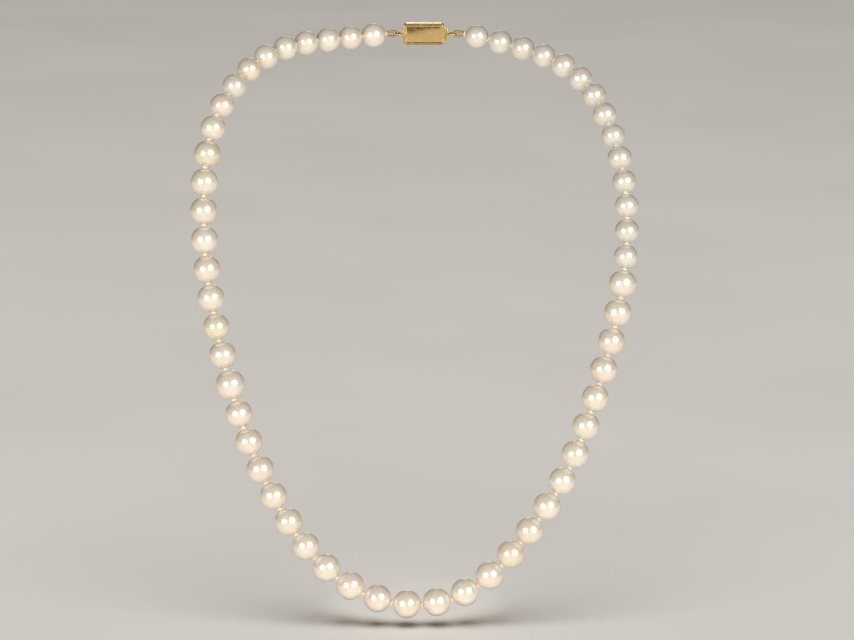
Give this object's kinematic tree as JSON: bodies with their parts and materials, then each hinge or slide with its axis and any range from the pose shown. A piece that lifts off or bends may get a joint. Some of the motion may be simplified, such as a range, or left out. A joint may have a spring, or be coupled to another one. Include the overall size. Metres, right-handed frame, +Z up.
{
  "type": "pearl necklace",
  "caption": "Princess-length strand of round cream pearls knotted on silk, smaller towards the nape, closed by a gold box clasp with a sprung tongue.",
  "frame": {"origin": "middle of the clasp at the nape, on the line of the strand", "axes": "+Z up for a standing wearer, -Y forward to the chest, +X to the right of someone who faces the wearer, along the clasp towards its tongue"},
  "size_m": [0.1134, 0.0887, 0.1374],
  "materials": {
    "pearl_cream": "lustrous cream nacre",
    "pearl_rose": "lustrous cream nacre with a rose overtone",
    "pearl_gold": "lustrous cream nacre with a golden overtone",
    "pearl_silver": "lustrous cream nacre with a silver-green overtone",
    "silk": "twisted cream silk",
    "gold": "polished yellow gold",
    "gimp": "fine coiled gold wire"
  },
  "bodies": {
    "clasp_case": {"clasp_front": "gold", "clasp_back": "gold", "clasp_ring_left": "gold", "gimp_left": "gimp", "silk_left": "silk", "nape_pearls_left": "pearl_cream"},
    "clasp_tongue": {"tongue_plate": "gold", "clasp_ring_right": "gold", "gimp_right": "gimp", "silk_right": "silk", "nape_pearls_right": "pearl_silver"},
    "clasp_leaf": {"tongue_leaf": "gold"},
    "pearl_06": {"pearl_06": "pearl_cream"},
    "pearl_07": {"pearl_07": "pearl_gold"},
    "pearl_08": {"pearl_08": "pearl_silver"},
    "pearl_09": {"pearl_09": "pearl_rose"},
    "pearl_10": {"pearl_10": "pearl_cream"},
    "pearl_11": {"pearl_11": "pearl_gold"},
    "pearl_12": {"pearl_12": "pearl_cream"},
    "pearl_13": {"pearl_13": "pearl_cream"},
    "pearl_14": {"pearl_14": "pearl_cream"},
    "pearl_15": {"pearl_15": "pearl_rose"},
    "pearl_16": {"pearl_16": "pearl_cream"},
    "pearl_17": {"pearl_17": "pearl_gold"},
    "pearl_18": {"pearl_18": "pearl_cream"},
    "pearl_19": {"pearl_19": "pearl_cream"},
    "pearl_20": {"pearl_20": "pearl_cream"},
    "pearl_21": {"pearl_21": "pearl_cream"},
    "pearl_22": {"pearl_22": "pearl_rose"},
    "pearl_23": {"pearl_23": "pearl_cream"},
    "pearl_24": {"pearl_24": "pearl_cream"},
    "pearl_25": {"pearl_25": "pearl_cream"},
    "pearl_26": {"pearl_26": "pearl_cream"},
    "pearl_27": {"pearl_27": "pearl_cream"},
    "pearl_28": {"pearl_28": "pearl_rose"},
    "pearl_29": {"pearl_29": "pearl_cream"},
    "pearl_30": {"pearl_30": "pearl_cream"},
    "pearl_31": {"pearl_31": "pearl_cream"},
    "pearl_32": {"pearl_32": "pearl_cream"},
    "pearl_33": {"pearl_33": "pearl_gold"},
    "pearl_34": {"pearl_34": "pearl_cream"},
    "pearl_35": {"pearl_35": "pearl_cream"},
    "pearl_36": {"pearl_36": "pearl_cream"},
    "pearl_37": {"pearl_37": "pearl_cream"},
    "pearl_38": {"pearl_38": "pearl_cream"},
    "pearl_39": {"pearl_39": "pearl_cream"},
    "pearl_40": {"pearl_40": "pearl_rose"},
    "pearl_41": {"pearl_41": "pearl_cream"},
    "pearl_42": {"pearl_42": "pearl_cream"},
    "pearl_43": {"pearl_43": "pearl_cream"},
    "pearl_44": {"pearl_44": "pearl_silver"},
    "pearl_45": {"pearl_45": "pearl_silver"},
    "pearl_46": {"pearl_46": "pearl_silver"},
    "pearl_47": {"pearl_47": "pearl_silver"},
    "pearl_48": {"pearl_48": "pearl_silver"},
    "pearl_49": {"pearl_49": "pearl_silver"},
    "pearl_50": {"pearl_50": "pearl_silver"},
    "pearl_51": {"pearl_51": "pearl_silver"},
    "pearl_52": {"pearl_52": "pearl_silver"}
  },
  "joints": [
    {"name": "clasp_slide", "type": "slide", "parent": "clasp_case", "child": "clasp_tongue", "axis": [1, 0, 0], "range_m": [0, 0.0105], "deforming": ["tongue_leaf"]},
    {"name": "clasp_leaf_press", "type": "hinge", "parent": "clasp_tongue", "child": "clasp_leaf", "pos_m": [-0.0044, 0.00038, 0], "axis": [0, 0, -1], "range_deg": [0, 4.8], "stiffness_Nm_per_rad": 0.05},
    {"name": "pearl_06_flex", "type": "hinge", "parent": "clasp_case", "child": "pearl_06", "pos_m": [-0.03818, -0.01768, -0.00203], "axis": [0.571, -0.3528, -0.7413], "range_deg": [-30, 30], "deforming": ["silk_left"]},
    {"name": "pearl_07_flex", "type": "hinge", "parent": "pearl_06", "child": "pearl_07", "pos_m": [-0.04275, -0.02215, -0.00422], "axis": [-0.6902, 0.2443, 0.6812], "range_deg": [-30, 30]},
    {"name": "pearl_08_flex", "type": "hinge", "parent": "pearl_07", "child": "pearl_08", "pos_m": [-0.04661, -0.02651, -0.00739], "axis": [0.7849, -0.1538, -0.6003], "range_deg": [-30, 30]},
    {"name": "pearl_09_flex", "type": "hinge", "parent": "pearl_08", "child": "pearl_09", "pos_m": [-0.04994, -0.03071, -0.01144], "axis": [-0.8577, 0.0821, 0.5076], "range_deg": [-30, 30]},
    {"name": "pearl_10_flex", "type": "hinge", "parent": "pearl_09", "child": "pearl_10", "pos_m": [-0.0526, -0.03461, -0.01622], "axis": [0.9215, -0.0111, -0.3883], "range_deg": [-30, 30]},
    {"name": "pearl_11_flex", "type": "hinge", "parent": "pearl_10", "child": "pearl_11", "pos_m": [-0.05439, -0.03827, -0.02183], "axis": [-0.9676, -0.0533, 0.2468], "range_deg": [-30, 30]},
    {"name": "pearl_12_flex", "type": "hinge", "parent": "pearl_11", "child": "pearl_12", "pos_m": [-0.05526, -0.04169, -0.02828], "axis": [0.9874, 0.0897, -0.1302], "range_deg": [-30, 30]},
    {"name": "pearl_13_flex", "type": "hinge", "parent": "pearl_12", "child": "pearl_13", "pos_m": [-0.05554, -0.04478, -0.03507], "axis": [-0.9928, -0.1038, 0.0601], "range_deg": [-30, 30]},
    {"name": "pearl_14_flex", "type": "hinge", "parent": "pearl_13", "child": "pearl_14", "pos_m": [-0.05547, -0.04761, -0.04199], "axis": [0.9932, 0.1161, -0.0088], "range_deg": [-30, 30]},
    {"name": "pearl_15_flex", "type": "hinge", "parent": "pearl_14", "child": "pearl_15", "pos_m": [-0.05501, -0.05032, -0.04903], "axis": [-0.99, -0.1341, -0.0428], "range_deg": [-30, 30]},
    {"name": "pearl_16_flex", "type": "hinge", "parent": "pearl_15", "child": "pearl_16", "pos_m": [-0.05415, -0.05296, -0.05592], "axis": [0.9836, 0.1545, 0.0932], "range_deg": [-30, 30]},
    {"name": "pearl_17_flex", "type": "hinge", "parent": "pearl_16", "child": "pearl_17", "pos_m": [-0.05286, -0.05566, -0.06285], "axis": [-0.9756, -0.1721, -0.1363], "range_deg": [-30, 30]},
    {"name": "pearl_18_flex", "type": "hinge", "parent": "pearl_17", "child": "pearl_18", "pos_m": [-0.05133, -0.05825, -0.06945], "axis": [0.9682, 0.1848, 0.1686], "range_deg": [-30, 30]},
    {"name": "pearl_19_flex", "type": "hinge", "parent": "pearl_18", "child": "pearl_19", "pos_m": [-0.04954, -0.06088, -0.07619], "axis": [-0.9611, -0.1951, -0.1956], "range_deg": [-30, 30]},
    {"name": "pearl_20_flex", "type": "hinge", "parent": "pearl_19", "child": "pearl_20", "pos_m": [-0.04737, -0.06369, -0.08343], "axis": [0.9515, 0.2065, 0.228], "range_deg": [-30, 30]},
    {"name": "pearl_21_flex", "type": "hinge", "parent": "pearl_20", "child": "pearl_21", "pos_m": [-0.04507, -0.06626, -0.09002], "axis": [-0.9372, -0.2196, -0.2709], "range_deg": [-30, 30]},
    {"name": "pearl_22_flex", "type": "hinge", "parent": "pearl_21", "child": "pearl_22", "pos_m": [-0.04237, -0.06885, -0.09654], "axis": [0.9174, 0.2341, 0.3218], "range_deg": [-30, 30]},
    {"name": "pearl_23_flex", "type": "hinge", "parent": "pearl_22", "child": "pearl_23", "pos_m": [-0.03924, -0.07143, -0.10289], "axis": [-0.8924, -0.2498, -0.3759], "range_deg": [-30, 30]},
    {"name": "pearl_24_flex", "type": "hinge", "parent": "pearl_23", "child": "pearl_24", "pos_m": [-0.03573, -0.07392, -0.10895], "axis": [0.8602, 0.2686, 0.4335], "range_deg": [-30, 30]},
    {"name": "pearl_25_flex", "type": "hinge", "parent": "pearl_24", "child": "pearl_25", "pos_m": [-0.03167, -0.07635, -0.11484], "axis": [-0.809, -0.2961, -0.5078], "range_deg": [-30, 30]},
    {"name": "pearl_26_flex", "type": "hinge", "parent": "pearl_25", "child": "pearl_26", "pos_m": [-0.02697, -0.07853, -0.12022], "axis": [0.7231, 0.3335, 0.6049], "range_deg": [-30, 30]},
    {"name": "pearl_27_flex", "type": "hinge", "parent": "pearl_26", "child": "pearl_27", "pos_m": [-0.02143, -0.08033, -0.12489], "axis": [-0.5944, -0.371, -0.7135], "range_deg": [-30, 30]},
    {"name": "pearl_28_flex", "type": "hinge", "parent": "pearl_27", "child": "pearl_28", "pos_m": [-0.01497, -0.08173, -0.12854], "axis": [0.419, 0.4015, 0.8144], "range_deg": [-30, 30]},
    {"name": "pearl_29_flex", "type": "hinge", "parent": "pearl_28", "child": "pearl_29", "pos_m": [-0.00794, -0.08265, -0.13071], "axis": [-0.1954, -0.4253, -0.8837], "range_deg": [-30, 30]},
    {"name": "pearl_52_flex", "type": "hinge", "parent": "clasp_tongue", "child": "pearl_52", "pos_m": [0.03838, -0.0168, -0.00739], "axis": [-0.7152, -0.3062, -0.6283], "range_deg": [-30, 30], "deforming": ["silk_right"]},
    {"name": "pearl_51_flex", "type": "hinge", "parent": "pearl_52", "child": "pearl_51", "pos_m": [0.04218, -0.0212, -0.01058], "axis": [0.8247, 0.1902, 0.5327], "range_deg": [-30, 30]},
    {"name": "pearl_50_flex", "type": "hinge", "parent": "pearl_51", "child": "pearl_50", "pos_m": [0.0451, -0.02567, -0.01464], "axis": [-0.896, -0.0996, -0.4327], "range_deg": [-30, 30]},
    {"name": "pearl_49_flex", "type": "hinge", "parent": "pearl_50", "child": "pearl_49", "pos_m": [0.04735, -0.03004, -0.01925], "axis": [0.9337, 0.0442, 0.3554], "range_deg": [-30, 30]},
    {"name": "pearl_48_flex", "type": "hinge", "parent": "pearl_49", "child": "pearl_48", "pos_m": [0.04911, -0.03419, -0.02411], "axis": [-0.9577, -0.0039, -0.2878], "range_deg": [-30, 30]},
    {"name": "pearl_47_flex", "type": "hinge", "parent": "pearl_48", "child": "pearl_47", "pos_m": [0.05042, -0.03821, -0.02938], "axis": [0.9767, -0.0356, 0.2115], "range_deg": [-30, 30]},
    {"name": "pearl_46_flex", "type": "hinge", "parent": "pearl_47", "child": "pearl_46", "pos_m": [0.05117, -0.0419, -0.0349], "axis": [-0.9889, 0.0721, -0.1301], "range_deg": [-30, 30]},
    {"name": "pearl_45_flex", "type": "hinge", "parent": "pearl_46", "child": "pearl_45", "pos_m": [0.05139, -0.04528, -0.04064], "axis": [0.9933, -0.1013, 0.0561], "range_deg": [-30, 30]},
    {"name": "pearl_44_flex", "type": "hinge", "parent": "pearl_45", "child": "pearl_44", "pos_m": [0.05116, -0.04843, -0.04661], "axis": [-0.9922, 0.1243, 0.0053], "range_deg": [-30, 30]},
    {"name": "pearl_43_flex", "type": "hinge", "parent": "pearl_44", "child": "pearl_43", "pos_m": [0.05057, -0.05131, -0.05256], "axis": [0.9876, -0.1452, -0.0599], "range_deg": [-30, 30]},
    {"name": "pearl_42_flex", "type": "hinge", "parent": "pearl_43", "child": "pearl_42", "pos_m": [0.04949, -0.05435, -0.05937], "axis": [-0.9793, 0.1669, 0.1144], "range_deg": [-30, 30]},
    {"name": "pearl_41_flex", "type": "hinge", "parent": "pearl_42", "child": "pearl_41", "pos_m": [0.04798, -0.05718, -0.06616], "axis": [0.9684, -0.1874, -0.1647], "range_deg": [-30, 30]},
    {"name": "pearl_40_flex", "type": "hinge", "parent": "pearl_41", "child": "pearl_40", "pos_m": [0.04613, -0.05985, -0.07286], "axis": [-0.9578, 0.2032, 0.2032], "range_deg": [-30, 30]},
    {"name": "pearl_39_flex", "type": "hinge", "parent": "pearl_40", "child": "pearl_39", "pos_m": [0.044, -0.06247, -0.07963], "axis": [0.95, -0.2132, -0.2282], "range_deg": [-30, 30]},
    {"name": "pearl_38_flex", "type": "hinge", "parent": "pearl_39", "child": "pearl_38", "pos_m": [0.04175, -0.06502, -0.08627], "axis": [-0.9423, 0.221, 0.2516], "range_deg": [-30, 30]},
    {"name": "pearl_37_flex", "type": "hinge", "parent": "pearl_38", "child": "pearl_37", "pos_m": [0.03927, -0.06758, -0.09286], "axis": [0.9269, -0.2335, -0.294], "range_deg": [-30, 30]},
    {"name": "pearl_36_flex", "type": "hinge", "parent": "pearl_37", "child": "pearl_36", "pos_m": [0.03632, -0.07013, -0.09933], "axis": [-0.8966, 0.2535, 0.3631], "range_deg": [-30, 30]},
    {"name": "pearl_35_flex", "type": "hinge", "parent": "pearl_36", "child": "pearl_35", "pos_m": [0.03279, -0.07257, -0.10539], "axis": [0.8536, -0.2775, -0.4408], "range_deg": [-30, 30]},
    {"name": "pearl_34_flex", "type": "hinge", "parent": "pearl_35", "child": "pearl_34", "pos_m": [0.02862, -0.07493, -0.11121], "axis": [-0.8119, 0.2996, 0.5011], "range_deg": [-30, 30]},
    {"name": "pearl_33_flex", "type": "hinge", "parent": "pearl_34", "child": "pearl_33", "pos_m": [0.02409, -0.07713, -0.11677], "axis": [0.7736, -0.3194, -0.5473], "range_deg": [-30, 30]},
    {"name": "pearl_32_flex", "type": "hinge", "parent": "pearl_33", "child": "pearl_32", "pos_m": [0.01922, -0.07914, -0.12204], "axis": [-0.7027, 0.3435, 0.6231], "range_deg": [-30, 30]},
    {"name": "pearl_31_flex", "type": "hinge", "parent": "pearl_32", "child": "pearl_31", "pos_m": [0.01348, -0.08092, -0.12662], "axis": [0.5558, -0.3757, -0.7416], "range_deg": [-30, 30]},
    {"name": "pearl_30_flex", "type": "hinge", "parent": "pearl_31", "child": "pearl_30", "pos_m": [0.00688, -0.08225, -0.12974], "axis": [-0.3361, 0.4112, 0.8473], "range_deg": [-30, 30]}
  ]
}
